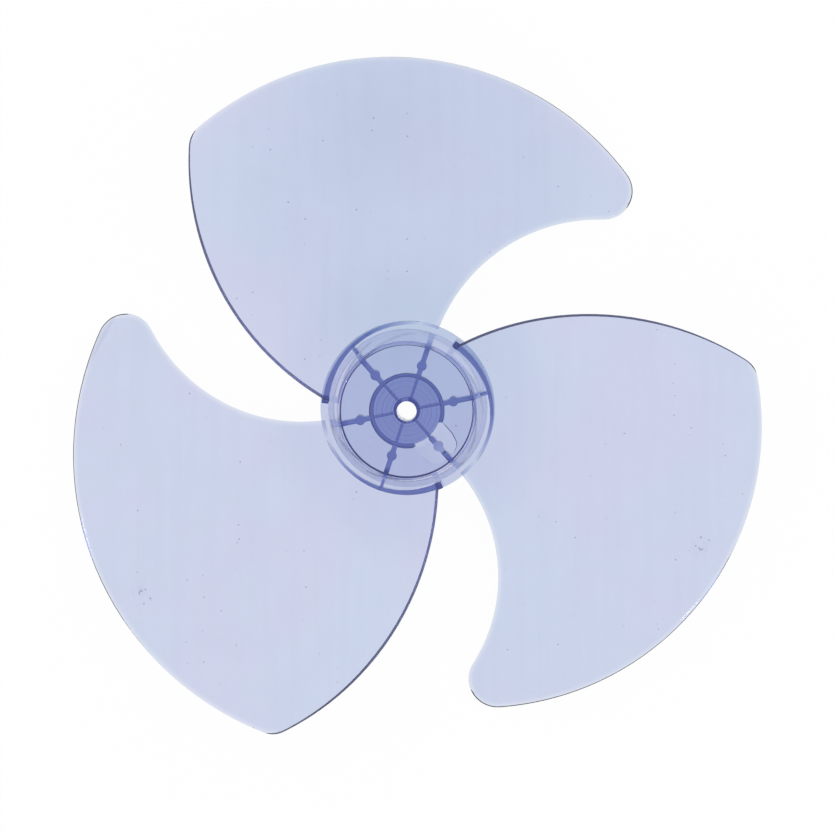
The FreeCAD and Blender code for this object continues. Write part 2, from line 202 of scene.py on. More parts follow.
# %% Each edge as a chain of arcs
LEADING_EDGE = ((LEADING, root_lead, nose_lead), (nose, nose_lead, nose_point))
TIP_EDGE = ((nose, nose_point, nose_tip), (TIP, nose_tip, corner_tip), (corner, corner_tip, corner_point))
TRAILING_EDGE = ((TRAILING, root_trail, corner_trail), (corner, corner_trail, corner_point))
ROOT_EDGE = ((ROOT, root_lead, root_trail),)
FINER = 6 * MM


def follow(edge, share):
    """The point a share of the way along an edge. Tight bends count as longer, so they get more points."""
    swings = []
    for circle, first, last in edge:
        a, b = first - circle[0], last - circle[0]
        swings.append(math.atan2(a.x * b.y - a.y * b.x, a.dot(b)))
    lengths = [abs(swing) * (arc[0][1] + FINER) for swing, arc in zip(swings, edge)]
    left = share * sum(lengths)
    for number, length in enumerate(lengths):
        if left <= length or number == len(edge) - 1:
            break
        left -= length
    circle, first, last = edge[number]
    return circle[0] + Matrix.Rotation(swings[number] * left / length, 2) @ (first - circle[0])


# %% [markdown]
# ## The twisted sheet
# A blade is a sheet 2 mm thick. Its slope falls from the root to the tip, and its sides rise above its
# middle, so it is hollow towards the front. Three sections say how: at the shaft, half way and past the
# tip. Between them slope and height change smoothly, as in a loft.

# %% Height of the sheet's middle
STATIONS = (0, 95 * MM, 190 * MM)
PITCHES = [math.radians(angle) for angle in (15, 13.4, 5.6)]
LEVELS = (-15 * MM, -14.5 * MM, -7 * MM)
CAMBER_RISE = 8.6 * MM
CAMBER_HALF_WIDTH = 150 * MM


def between_stations(values, x):
    """A smooth curve through one value at each station."""
    t = x / STATIONS[2]
    return values[0] * (1 - 2 * t) * (1 - t) + values[1] * 4 * t * (1 - t) + values[2] * t * (2 * t - 1)


def sheet_height(x, y):
    """Height of the middle of the blade's sheet at a place in its own frame."""
    run = between_stations([math.cos(p) for p in PITCHES], x)
    climb = between_stations([math.sin(p) for p in PITCHES], x)
    across, camber = y, 0.0
    for step in range(4):
        across = (y + camber * climb) / run
        camber = CAMBER_RISE * (across / CAMBER_HALF_WIDTH) ** 2
    return between_stations(LEVELS, x) + across * climb + camber * run


print("sheet at the nose:", round(sheet_height(*nose_point) / MM, 1), "mm")

# %% Stretch a grid to the outline
COLUMNS = 72
ROWS = 48
CROWDING = 0.9


def crowd(share):
    """Shares of a length that lie close together near both ends."""
    return share - CROWDING * math.sin(2 * math.pi * share) / (2 * math.pi)


def place_on_blade(u, v):
    """A point of the outline's inside: u from leading to trailing edge, v from root to tip."""
    across = follow(LEADING_EDGE, v) * (1 - u) + follow(TRAILING_EDGE, v) * u
    along = follow(ROOT_EDGE, u) * (1 - v) + follow(TIP_EDGE, u) * v
    root = root_lead * (1 - u) + root_trail * u
    tip = nose_point * (1 - u) + corner_point * u
    return across + along - root * (1 - v) - tip * v


bpy.ops.mesh.primitive_grid_add(x_subdivisions=COLUMNS, y_subdivisions=ROWS, size=1)
blade = name_new("blade")
for vertex in blade.data.vertices:
    flat = place_on_blade(crowd(vertex.co.x + 0.5), crowd(vertex.co.y + 0.5))
    vertex.co = (flat.x, flat.y, sheet_height(flat.x, flat.y))
print("blade grid:", len(blade.data.polygons), "quads")

# %% [markdown]
# ## Thickness and edges
# The leading edge and the outer end thin out over the last few millimetres, which is why they look pale.
# A Solidify modifier gives the sheet its thickness, and a vertex group tells it where to give less.
# The trailing edge keeps its full thickness and is cut slantwise from behind. Light that comes up to that
# slant is turned along the sheet and swallowed, so from the front it draws a dark navy line. The line
# gets thinner towards the outer corner, so the slant does too. The finish adds painted shade there: the
# slant is tinted bluer, which gives the line its navy.

# %% Thin the leading edge and the tip
BLADE_THICKNESS = 2 * MM
EDGE_THICKNESS = 1.1 * MM
THINNING = 2.6 * MM
EDGE_SAMPLES = 600


def tree_along(*edges):
    """A search tree of points along some edges of the outline."""
    tree = KDTree(EDGE_SAMPLES * len(edges))
    for edge in edges:
        for number in range(EDGE_SAMPLES):
            tree.insert(follow(edge, number / (EDGE_SAMPLES - 1)).to_3d(), number)
    tree.balance()
    return tree


thin_edges = tree_along(LEADING_EDGE, TIP_EDGE)
group = blade.vertex_groups.new(name="thickness")
least = EDGE_THICKNESS / BLADE_THICKNESS
for vertex in blade.data.vertices:
    distance = thin_edges.find((vertex.co.x, vertex.co.y, 0))[2]
    group.add([vertex.index], least + (1 - least) * min(distance / THINNING, 1), "REPLACE")
finish_with(blade, "SOLIDIFY", thickness=BLADE_THICKNESS, offset=0, vertex_group="thickness")
print("thinnest", EDGE_THICKNESS / MM, "mm, thickest", BLADE_THICKNESS / MM, "mm")

# %% Slant the edges from behind
TRAILING_SLANT = 1.8 * MM
TRAILING_END_SLANT = 0.85 * MM
TRAILING_REACH = 6 * MM
LEADING_SLANT = 0.12 * MM
TIP_SLANT = 0.42 * MM
TAPER_START = 0.6
THIN_REACH = 3 * MM


def slant(edge, side, amount, end_amount, reach):
    """Draw the rear of the sheet inwards along one edge, by another amount at its end.

    Side is 1 or -1, whichever way inwards is.
    """
    tree = tree_along(edge)
    for vertex in blade.data.vertices:
        flat = Vector((vertex.co.x, vertex.co.y, 0))
        height = sheet_height(flat.x, flat.y)
        number, distance = tree.find(flat)[1:]
        if vertex.co.z < height and distance < reach:
            ahead = follow(edge, min(number + 1, EDGE_SAMPLES - 1) / (EDGE_SAMPLES - 1))
            behind = follow(edge, max(number - 1, 0) / (EDGE_SAMPLES - 1))
            along = (ahead - behind).normalized()
            tapered = max(number / (EDGE_SAMPLES - 1) - TAPER_START, 0) / (1 - TAPER_START)
            size = amount + (end_amount - amount) * tapered
            flat += Vector((along.y, -along.x, 0)) * side * size * (1 - distance / reach)
            vertex.co = (flat.x, flat.y, vertex.co.z + sheet_height(flat.x, flat.y) - height)


slant(TRAILING_EDGE, 1, TRAILING_SLANT, TRAILING_END_SLANT, TRAILING_REACH)
slant(LEADING_EDGE, -1, LEADING_SLANT, LEADING_SLANT, THIN_REACH)
slant(TIP_EDGE, -1, TIP_SLANT, 0, THIN_REACH)
print("slants:", [round(x / MM, 2) for x in (TRAILING_SLANT, LEADING_SLANT, TIP_SLANT)], "mm")

# %% Round the rim
RIM_ROUND = 0.25 * MM
RIM_ANGLE = math.radians(40)

take(blade)
bpy.ops.object.mode_set(mode="EDIT")
face_outwards()
pick(blade, "edges", lambda edge: edge.calc_face_angle(0) > RIM_ANGLE)
bpy.ops.mesh.bevel(offset=RIM_ROUND, segments=3, affect="EDGES", clamp_overlap=True)
bpy.ops.object.mode_set(mode="OBJECT")
blade.vertex_groups.clear()
tell(blade)

# %% [markdown]
# ## The root wall
# A short wall hangs under each blade's root and stands on the hub's flange where the blade comes low. Its
# two faces are circles with different centres, so it is thin at the leading edge and thicker at the
# trailing edge, where it carries more.

# %% Build the wall as a bent strip, pulled down
HUB_DEPTH = 20 * MM
FLANGE_THICKNESS = 2.2 * MM
WALL_HEIGHT = 6 * MM
WALL_LEAST = 0.2 * MM
WALL_STEPS = 60
WALL_END_ROUND = 0.4 * MM
UPRIGHT = 0.01 * MM
NEAR_TAIL = 0.99
wall_foot = -HUB_DEPTH + FLANGE_THICKNESS / 2


def out_to(circle, degrees):
    """The point of a circle in this direction from the shaft."""
    ahead = polar(1, degrees)
    along = circle[0].dot(ahead)
    return ahead * (along + math.sqrt(along ** 2 - circle[0].length_squared + circle[1] ** 2))


bpy.ops.mesh.primitive_grid_add(x_subdivisions=WALL_STEPS, y_subdivisions=1, size=1)
wall = name_new("wall")
for vertex in wall.data.vertices:
    degrees = WALL_START + WALL_SPAN * (vertex.co.x + 0.5)
    flat = out_to(WALL_OUTER if vertex.co.y < 0 else WALL_INNER, degrees)
    vertex.co = (flat.x, flat.y, max(sheet_height(flat.x, flat.y), wall_foot + WALL_LEAST))
take(wall)
bpy.ops.object.mode_set(mode="EDIT")
bpy.ops.mesh.select_all(action="SELECT")
bpy.ops.mesh.extrude_region_move(TRANSFORM_OT_translate={"value": (0, 0, -WALL_HEIGHT)})
bpy.ops.object.mode_set(mode="OBJECT")
for vertex in wall.data.vertices:
    if vertex.select:
        vertex.co.z = max(vertex.co.z, wall_foot)
take(wall)
bpy.ops.object.mode_set(mode="EDIT")
face_outwards()
wall_tail = polar(1, WALL_START + WALL_SPAN)


def at_tail(edge):
    """An upright, sharp edge at the wall's thick end."""
    first, second = (vertex.co.xy for vertex in edge.verts)
    upright = (first - second).length < UPRIGHT
    return upright and edge.calc_face_angle(0) > RIM_ANGLE and first.normalized().dot(wall_tail) > NEAR_TAIL


pick(wall, "edges", at_tail)
bpy.ops.mesh.bevel(offset=WALL_END_ROUND, segments=2, affect="EDGES")
bpy.ops.object.mode_set(mode="OBJECT")
tell(wall)

# %% [markdown]
# ## The hub
# Floor, sloping side, flange, pad, inner ring and sleeve all go round the shaft, so one half section spun
# through a full turn makes them. Its corners are rounded first, each by its own amount, because a mould
# has no sharp corners and because the rounded ones draw the dark and bright rings in clear plastic.

# %% Draw the half section and spin it
BORE = 5
SLEEVE = 6.5
SLEEVE_END = -15
PAD = 17.2
PAD_BACK = -7.4
RING = 18.8
RING_BACK = -11
FLOOR = -3.5
FLANGE = 44.2
FLANGE_TOP = -17.8
FLANGE_BACK = -20
SPIN_STEPS = 180
ROUND_STEP = math.radians(13)
FRONT = 34
CUP_FOOT = 40.2
HOLLOW = 33.25
HOLLOW_FOOT = 39.05
STRIP_END = (34.03, -5.6)
HUB_SECTION = (
    # distance from the shaft, height, rounding
    (BORE, 0, 0.4), (FRONT, 0, 0.4), (CUP_FOOT, FLANGE_TOP, 0.6), (FLANGE, FLANGE_TOP, 0.4),
    (FLANGE, FLANGE_BACK, 0.4), (HOLLOW_FOOT, FLANGE_BACK, 0.3), (*STRIP_END, 0.3), (HOLLOW, FLOOR, 0.3),
    (RING, FLOOR, 0.4), (RING, RING_BACK, 0.3), (PAD, RING_BACK, 0.3), (PAD, PAD_BACK, 0.4),
    (SLEEVE, PAD_BACK, 0.4), (SLEEVE, SLEEVE_END, 0.25), (BORE, SLEEVE_END, 0.25),
)


def round_corner(before, corner, after, radius):
    """Points of the arc that rounds a corner of a flat outline."""
    ways = [(before - corner).normalized(), (after - corner).normalized()]
    half = ways[0].angle(ways[1]) / 2
    centre = corner + (ways[0] + ways[1]).normalized() * radius / math.sin(half)
    ends = [corner + way * radius / math.tan(half) - centre for way in ways]
    swing = math.atan2(ends[0].cross(ends[1]), ends[0].dot(ends[1]))
    steps = math.ceil(abs(swing) / ROUND_STEP)
    return [centre + Matrix.Rotation(swing * step / steps, 2) @ ends[0] for step in range(steps + 1)]


corners = [Vector((radius, height)) for radius, height, rounding in HUB_SECTION]
section = []
for number, (radius, height, rounding) in enumerate(HUB_SECTION):
    following = corners[(number + 1) % len(corners)]
    section += round_corner(corners[number - 1], corners[number], following, rounding)
bpy.ops.mesh.primitive_circle_add(vertices=len(section), fill_type="NOTHING")
hub = name_new("clear_blade")
for vertex, point in zip(hub.data.vertices, section):
    vertex.co = Vector((point.x, 0, point.y)) * MM
take(hub)
bpy.ops.object.mode_set(mode="EDIT")
bpy.ops.mesh.select_all(action="SELECT")
bpy.ops.mesh.spin(steps=SPIN_STEPS, angle=2 * math.pi, center=(0, 0, 0), axis=(0, 0, 1))
face_outwards()
bpy.ops.object.mode_set(mode="OBJECT")
tell(hub)

# %% [markdown]
# ## Ribs, bosses and gussets
# Six ribs stiffen the hub from behind. Each has a round boss where the mould's ejector pin pushed, and a
# thinner rib goes on from the ring to the sleeve. Three short gussets outside tie the cup to the walls.
# They are made a hair larger than they need be, so that no face lies in the plane of another and the
# pieces join cleanly.

# %% A plate in a plane through the shaft
RIBS = 6
RIB_ANGLE = 11.6
BROKEN_RIB = RIB_ANGLE - 360 / RIBS
PLATE_ROUND = 0.2 * MM


def make_plate(name, thickness, corners):
    """A plate from its outline of (distance from the shaft, height) corners in millimetres."""
    bpy.ops.mesh.primitive_circle_add(vertices=len(corners), fill_type="NGON")
    plate = name_new(name)
    for vertex, (distance, height) in zip(plate.data.vertices, corners):
        vertex.co = Vector((distance, -thickness / 2, height)) * MM
    bpy.ops.object.mode_set(mode="EDIT")
    bpy.ops.mesh.select_all(action="SELECT")
    bpy.ops.mesh.extrude_region_move(TRANSFORM_OT_translate={"value": (0, thickness * MM, 0)})
    face_outwards()
    bpy.ops.mesh.bevel(offset=PLATE_ROUND, segments=2, affect="EDGES")
    bpy.ops.object.mode_set(mode="OBJECT")
    return plate


# %% Model one of each
IN_FLOOR = -1.85
RIB_BACK = -9.8
INNER_RIB_BACK = -10.8
GUSSET_TOP = -10.8
IN_FLANGE = -18.9
ABOVE_BACK = -19.93
RIB_BEND = -12.5
RIB_WIDTH = 2.6
INNER_RIB_WIDTH = 1.4
GUSSET_WIDTH = 1.6
IN_RING = 17.9
THROUGH_RING = 18.2
IN_SLEEVE = 5.75
IN_CUP = 39.3
IN_WALL = 42.85
rib = make_plate("rib", RIB_WIDTH, (
    (IN_RING, IN_FLOOR), (33.1, IN_FLOOR), (IN_CUP, ABOVE_BACK), (38.0, ABOVE_BACK),
    (34.3, RIB_BEND), (30.0, RIB_BACK), (IN_RING, RIB_BACK)))
inner_rib = make_plate("inner_rib", INNER_RIB_WIDTH, (
    (IN_SLEEVE, IN_FLOOR), (THROUGH_RING, IN_FLOOR),
    (THROUGH_RING, INNER_RIB_BACK), (IN_SLEEVE, INNER_RIB_BACK)))
gusset = make_plate("gusset", GUSSET_WIDTH, (
    (IN_CUP, IN_FLANGE), (IN_WALL, IN_FLANGE), (IN_WALL, GUSSET_TOP), (33.4, GUSSET_TOP)))
BOSS_DISTANCE = 24 * MM
BOSS_RADIUS = 2.5 * MM
BOSS_TOP = -1.5 * MM
BOSS_BACK = -9.95 * MM
bpy.ops.mesh.primitive_cylinder_add(vertices=48, radius=BOSS_RADIUS, depth=BOSS_TOP - BOSS_BACK,
                                    location=(BOSS_DISTANCE, 0, (BOSS_TOP + BOSS_BACK) / 2))
boss = name_new("boss")
bpy.ops.object.transform_apply(location=True)
bpy.ops.object.mode_set(mode="EDIT")
pick(boss, "edges", lambda edge: edge.calc_face_angle(0) > RIM_ANGLE)
bpy.ops.mesh.bevel(offset=PLATE_ROUND, segments=2, affect="EDGES")
bpy.ops.object.mode_set(mode="OBJECT")
for part in (rib, inner_rib, gusset, boss):
    tell(part)

# %% [markdown]
# ## What has broken away
# Behind the hub a stretch of the inner ring is gone, with a tongue-shaped flake of the floor, and the rib
# that crossed it is notched. Each piece that is lost is modelled as a cube with many points, bent to its
# shape and shaken a little by noise, and then cut out, so the fracture faces glint unevenly.

# %% Rough cutters
ROUGHNESS = 0.16 * MM
ROUGH_SIZE = 1.7 * MM
CUTTER_POINTS = 13


def make_rough_cutter(name, place):
    """A cube of many points. The place function takes a point of it to its place in millimetres."""
    bpy.ops.mesh.primitive_cube_add(size=1)
    cutter = name_new(name)
    bpy.ops.object.mode_set(mode="EDIT")
    bpy.ops.mesh.select_all(action="SELECT")
    bpy.ops.mesh.subdivide(number_cuts=CUTTER_POINTS)
    bpy.ops.mesh.quads_convert_to_tris()
    bpy.ops.object.mode_set(mode="OBJECT")
    for vertex in cutter.data.vertices:
        spot = Vector(place(*vertex.co)) * MM
        vertex.co = spot + noise.noise_vector(spot / ROUGH_SIZE) * ROUGHNESS
    cutter.data.transform(Matrix.Rotation(math.radians(BROKEN_RIB), 4, "Z"))
    return cutter


# %% The flake
FLAKE_HALF_WIDTH = 9.6
FLAKE_END = 31.6
FLAKE_SHOULDER = 23.5
FLAKE_TOP = -2.7
FLAKE_TILT = 0.5
FLAKE_BELOW = -4.8
FLAKE_FLARE = 0.3
FLAKE_SQUARENESS = 3
FLAKE_DEPTH = 1.4
FLAKE_START = PAD + 0.3
TOP_FACE = 0.49


def place_in_flake(x, y, z):
    """Across the floor from the pad's edge to a round end, deeper on one side."""
    across = 2 * y * FLAKE_HALF_WIDTH
    start = math.sqrt(FLAKE_START ** 2 - across ** 2)
    fullness = math.sqrt(max(1 - abs(2 * y) ** FLAKE_SQUARENESS, 0))
    end = FLAKE_SHOULDER + (FLAKE_END - FLAKE_SHOULDER) * fullness
    along = start + (end - start) * (x + 0.5)
    if z > TOP_FACE:
        return along, across, FLAKE_TOP - FLAKE_TILT * (0.5 - y)
    flare = FLAKE_FLARE * 2 * max(y, 0)
    return along + flare * (x + 0.5), across + flare, FLAKE_BELOW + (z + 0.5) * FLAKE_DEPTH


flake = make_rough_cutter("flake", place_in_flake)
tell(flake)
cut_or_join(hub, "DIFFERENCE", [flake])
tell(hub)

# %% The lost stretch of ring
GAP_MIDDLE = 18.1
GAP_WIDTH = 2.3
GAP_SPAN = 57
CUT_BELOW = -12.6


def place_in_gap(x, y, z):
    """Round the ring, a little wider than it."""
    flat = polar(GAP_MIDDLE + x * GAP_WIDTH, y * GAP_SPAN)
    return flat.x, flat.y, CUT_BELOW + (z + 0.5) * (FLAKE_TOP - CUT_BELOW)


cut_or_join(hub, "DIFFERENCE", [make_rough_cutter("gap", place_in_gap)])
tell(hub)

# %% Join ribs, bosses and gussets to the hub
webs = []
for number in range(RIBS):
    degrees = RIB_ANGLE + number * 360 / RIBS
    webs += [copy_turned(part, f"{part.name}_{number}", degrees) for part in (rib, inner_rib, boss)]
for number in range(BLADES):
    webs.append(copy_turned(gusset, f"gusset_{number}", RIB_ANGLE + number * 360 / BLADES))
for part in (rib, inner_rib, boss, gusset):
    bpy.data.objects.remove(part)
cut_or_join(hub, "UNION", webs)
tell(hub)

# %% The notch, and the slot for the shaft's cross pin
NOTCH_START = 21.3
NOTCH_END = 29
NOTCH_PEAK = 26.4
NOTCH_TOP = -6
NOTCH_TOOTH = 1.0
NOTCH_WIDTH = 7.6


def place_in_notch(x, y, z):
    """Across the rib, with a jagged top that peaks towards the outside."""
    along = NOTCH_START + (x + 0.5) * (NOTCH_END - NOTCH_START)
    if along < NOTCH_PEAK:
        fall = (NOTCH_PEAK - along) / (NOTCH_PEAK - NOTCH_START)
    else:
        fall = (along - NOTCH_PEAK) / (NOTCH_END - NOTCH_PEAK)
    return along, y * NOTCH_WIDTH, CUT_BELOW + (z + 0.5) * (NOTCH_TOP - NOTCH_TOOTH * fall - CUT_BELOW)


SLOT_SIZE = Vector((3.6, 16, 5.9)) * MM
SLOT_TOP = -10 * MM
bpy.ops.mesh.primitive_cube_add(size=1, scale=SLOT_SIZE, location=(0, 0, SLOT_TOP - SLOT_SIZE.z / 2))
slot = name_new("slot")
bpy.ops.object.transform_apply(location=True, scale=True)
slot.data.transform(Matrix.Rotation(math.radians(RIB_ANGLE), 4, "Z"))
cut_or_join(hub, "DIFFERENCE", [make_rough_cutter("notch", place_in_notch), slot])
tell(hub)

# %% [markdown]
# ## Posts, and the blades
# Each wall ends in a small square post under the start of the trailing edge. Seen from the front it is a
# dark square, because one looks along its whole height.

# %% Join blades, walls and posts
POST_WIDTH = 3.3
POST_TURN = WALL_START + WALL_SPAN + 0.9
POST_RADII = (39.9, 43.3)
POST_HEIGHTS = (-15.6, -4.0)
post = make_plate("post", POST_WIDTH, (
    (POST_RADII[0], POST_HEIGHTS[0]), (POST_RADII[1], POST_HEIGHTS[0]),
    (POST_RADII[1], POST_HEIGHTS[1]), (POST_RADII[0], POST_HEIGHTS[1])))
post.data.transform(Matrix.Rotation(math.radians(POST_TURN), 4, "Z"))
limbs = []
for number in range(BLADES):
    degrees = BLADE_ANGLE + number * 360 / BLADES
    limbs += [copy_turned(part, f"{part.name}_{number}", degrees) for part in (blade, wall, post)]
for part in (blade, wall, post):
    bpy.data.objects.remove(part)
cut_or_join(hub, "UNION", limbs)
tell(hub)

# %% [markdown]
# ## Smooth shading
# Rounded places are shaded smoothly and corners stay crisp. Weighted normals keep the big flat faces flat,
# because in clear plastic a normal that leans a little bends everything that is seen through it.
# Before that, the slanted faces of the trailing edges and the cup's inner slope are marked in an attribute,
# so that the finish can make them duller than the polished rest, and tint them bluer as painted shade for
# the dark lines that they draw.

# %% Mark the slanted faces of the trailing edges
CUT_REACH = 2.2 * MM
CUT_STEEPNESS = (-0.88, -0.1)
FLANK_RADII = (33 * MM, 39.3 * MM)
FLANK_TOP = 33.9 * MM
FLANK_SHARE = 0.2
FLANK_STEEPNESS = -0.1
FLANK_LEAN = -0.6
trailing_edge = tree_along(TRAILING_EDGE)
blade_angles = [BLADE_ANGLE + number * 360 / BLADES for number in range(BLADES)]
turns = [Matrix.Rotation(-math.radians(degrees), 3, "Z") for degrees in blade_angles]
# Where marked, the finish makes a face rougher and paints a bluer shade on it.
cut = hub.data.attributes.new("cut", "FLOAT", "FACE")
marked = 0
for face in hub.data.polygons:
    if FLANK_RADII[0] < face.center.xy.length < FLANK_RADII[1]:
        inwards = face.normal.xy.dot(face.center.xy.normalized())
        if face.normal.z < FLANK_STEEPNESS and inwards < FLANK_LEAN:
            cut.data[face.index].value = FLANK_SHARE if face.center.xy.length > FLANK_TOP else 1
    if CUT_STEEPNESS[0] < face.normal.z < CUT_STEEPNESS[1]:
        places = [turn @ face.center for turn in turns]
        if min(trailing_edge.find((spot.x, spot.y, 0))[2] for spot in places) < CUT_REACH:
            cut.data[face.index].value = 1
            marked += 1
print("slanted faces:", marked)

# %% Shade the joined part
SMOOTH_ANGLE = math.radians(35)
take(hub)
bpy.ops.object.shade_smooth_by_angle(angle=SMOOTH_ANGLE)
finish_with(hub, "WEIGHTED_NORMAL", mode="FACE_AREA", weight=50, keep_sharp=True)
print("normals weighted")

# %% [markdown]
# ## Clear blue plastic
# The colour of clear plastic lies in its depth, so it is given to the volume: thin blades look pale and
# ribs that are seen edge-on look deep blue. The surface adds what handling left on it. There is a cloudy
# lilac tinge, dust specks, faint flow streaks, scuffs in the same place on two blades, turning marks on
# the disc, and a fold mark on one nose. These are masks from noise and distances, mixed into the colour.
# The colour also holds painted shade: the blades' roots round the hub are darker, and the slanted faces of
# the trailing edges and of the cup's inner slope are tinted bluer for the dark lines they draw. The top
# blade is given a darker, bluer tone as well.


# %% Helpers for building shaders
def add_node(tree, kind, **settings):
    """Add a shader node and set its sockets, or else its own options, by name."""
    node = tree.nodes.new("ShaderNode" + kind)
    for name, value in settings.items():
        if name in node.inputs:
            node.inputs[name].default_value = value
        else:
            setattr(node, name, value)
    return node


def wire(tree, value, socket):
    """Put a number, a colour or another node's output on a socket."""
    if isinstance(value, bpy.types.NodeSocket):
        tree.links.new(value, socket)
    else:
        socket.default_value = value


def calculate(tree, operation, *values):
    """The output of a Math node on numbers or other nodes' outputs."""
    node = add_node(tree, "Math", operation=operation)
    for value, socket in zip(values, node.inputs):
        wire(tree, value, socket)
    return node.outputs[0]


def fade(tree, value, start, end):
    """0 up to start and 1 from end on, with a soft step between them."""
    node = add_node(tree, "MapRange", interpolation_type="SMOOTHSTEP", **{"From Min": start, "From Max": end})
    wire(tree, value, node.inputs["Value"])
    return node.outputs["Result"]


def mix_colours(tree, share, first, second):
    """The output of a colour Mix node."""
    node = add_node(tree, "Mix", data_type="RGBA")
    for value, socket in zip((share, first, second), (node.inputs[0], node.inputs[6], node.inputs[7])):
        wire(tree, value, socket)
    return node.outputs[2]


def noise_at(tree, coords, scale, detail=2, stretch=(1, 1, 1)):
    """Noise on the object's own coordinates, in shares of a metre."""
    mapping = add_node(tree, "Mapping", Scale=stretch)
    wire(tree, coords, mapping.inputs["Vector"])
    pattern = add_node(tree, "TexNoise", Scale=scale, Detail=detail)
    wire(tree, mapping.outputs[0], pattern.inputs["Vector"])
    return pattern.outputs[0]


def distance_to(tree, coords, place):
    """How far a point is from a place on the plane of the disc, in metres."""
    flat = add_node(tree, "VectorMath", operation="MULTIPLY")
    wire(tree, coords, flat.inputs[0])
    flat.inputs[1].default_value = (1, 1, 0)
    span = add_node(tree, "VectorMath", operation="DISTANCE")
    wire(tree, flat.outputs[0], span.inputs[0])
    span.inputs[1].default_value = (place[0], place[1], 0)
    return span.outputs["Value"]


# %% Masks: cloudiness, specks and streaks
plastic = bpy.data.materials.new("clear_blue_plastic")
plastic.use_nodes = True
tree = plastic.node_tree
coords = add_node(tree, "TexCoord").outputs["Object"]
CLOUD_SCALE = 13
CLOUD_STEP = (0.36, 0.64)
STREAK_STRETCH = (150, 9, 9)
STREAK_STEP = (0.42, 0.72)
HAZE_SCALE = 55
cloud = fade(tree, noise_at(tree, coords, CLOUD_SCALE, 3), *CLOUD_STEP)
streak = fade(tree, noise_at(tree, coords, 1, 3, stretch=STREAK_STRETCH), *STREAK_STEP)
haze = noise_at(tree, coords, HAZE_SCALE, 4)

SPECK_CELL = 0.0085
SPECK_SIZE = 0.055
SPECK_CHANCE = (0.55, 1.0)
CLUSTER_SCALE = 26
CLUSTER_STEP = (0.46, 0.58)
cells = add_node(tree, "TexVoronoi", voronoi_dimensions="2D", Scale=1 / SPECK_CELL)
wire(tree, coords, cells.inputs["Vector"])
chance = add_node(tree, "SeparateColor")
wire(tree, cells.outputs["Color"], chance.inputs[0])
speck_edge = calculate(tree, "MULTIPLY", fade(tree, chance.outputs[0], *SPECK_CHANCE), SPECK_SIZE)
speck = calculate(tree, "LESS_THAN", cells.outputs["Distance"], speck_edge)
clustered = fade(tree, noise_at(tree, coords, CLUSTER_SCALE), *CLUSTER_STEP)
speck = calculate(tree, "MULTIPLY", speck, clustered)
print("masks so far:", len(tree.nodes), "nodes")

# %% Masks: repeated scuffs, fold mark and turning marks
SCUFF_PLACE = polar(0.1643, -3.2)
SCUFFED_BLADES = (1, 2)
SCUFF_DOTS = ((-0.0026, 0.0010, 0.0005), (0, 0.0055, 0.0006), (0.0040, 0.0040, 0.0005))
CRESCENT = 0.0015
CRESCENT_SHIFT = (0.0002, 0.0008)
SMEAR_REACH = 0.008
SMEAR_SCALE = 420
SMEAR_STEP = (0.45, 0.65)
MODEL_BLADE = BLADE_ANGLE + 2 * 360 / BLADES


def spot(place, radius):
    """A round mask with a soft rim."""
    return fade(tree, distance_to(tree, coords, place), radius, 0.7 * radius)


marks = 0.0
smears = 0.0
for number in SCUFFED_BLADES:
    degrees = BLADE_ANGLE + number * 360 / BLADES
    centre = Matrix.Rotation(math.radians(degrees), 2) @ SCUFF_PLACE
    turn = Matrix.Rotation(math.radians(degrees - MODEL_BLADE), 2)
    hollow = calculate(tree, "SUBTRACT", 1.0, spot(centre + turn @ Vector(CRESCENT_SHIFT), CRESCENT))
    marks = calculate(tree, "MULTIPLY_ADD", spot(centre, CRESCENT), hollow, marks)
    for x, y, radius in SCUFF_DOTS:
        marks = calculate(tree, "ADD", marks, spot(centre + turn @ Vector((x, y)), radius))
    near = fade(tree, distance_to(tree, coords, centre), SMEAR_REACH, 0.2 * SMEAR_REACH)
    smears = calculate(tree, "ADD", smears, near)
smear_noise = fade(tree, noise_at(tree, coords, SMEAR_SCALE, 3), *SMEAR_STEP)
smears = calculate(tree, "MULTIPLY", smears, smear_noise)

FOLD_START = Vector((-0.1478, 0.0461))
FOLD_OUTWARDS = Vector((-0.877, 0.481))
FOLD_LEFT_OF = -0.125
FOLD_RISE = (-0.0008, 0.0006)
FOLD_FALL = (0.007, 0.0006)
place = add_node(tree, "SeparateXYZ")
wire(tree, coords, place.inputs[0])
beyond = calculate(tree, "MULTIPLY_ADD", place.outputs["X"], FOLD_OUTWARDS.x, -FOLD_START.dot(FOLD_OUTWARDS))
beyond = calculate(tree, "MULTIPLY_ADD", place.outputs["Y"], FOLD_OUTWARDS.y, beyond)
fold = calculate(tree, "MULTIPLY", fade(tree, beyond, *FOLD_RISE), fade(tree, beyond, *FOLD_FALL))
fold = calculate(tree, "MULTIPLY", fold, calculate(tree, "LESS_THAN", place.outputs["X"], FOLD_LEFT_OF))

TURNING_PITCHES = (0.0024, 0.0015)
DISC_RIM = (0.0185, 0.0165)
TURNING_SCALE = 90
TURNING_STEP = (0.3, 0.55)
off_shaft = distance_to(tree, coords, (0, 0))
turning = 0.0
for pitch in TURNING_PITCHES:
    wave = calculate(tree, "SINE", calculate(tree, "MULTIPLY", off_shaft, 2 * math.pi / pitch))
    turning = calculate(tree, "MULTIPLY_ADD", wave, 0.5, turning)
on_disc = fade(tree, off_shaft, *DISC_RIM)
turning = calculate(tree, "MULTIPLY", turning, on_disc)
patchy = fade(tree, noise_at(tree, coords, TURNING_SCALE, 1), *TURNING_STEP)
turning = calculate(tree, "MULTIPLY", turning, patchy)

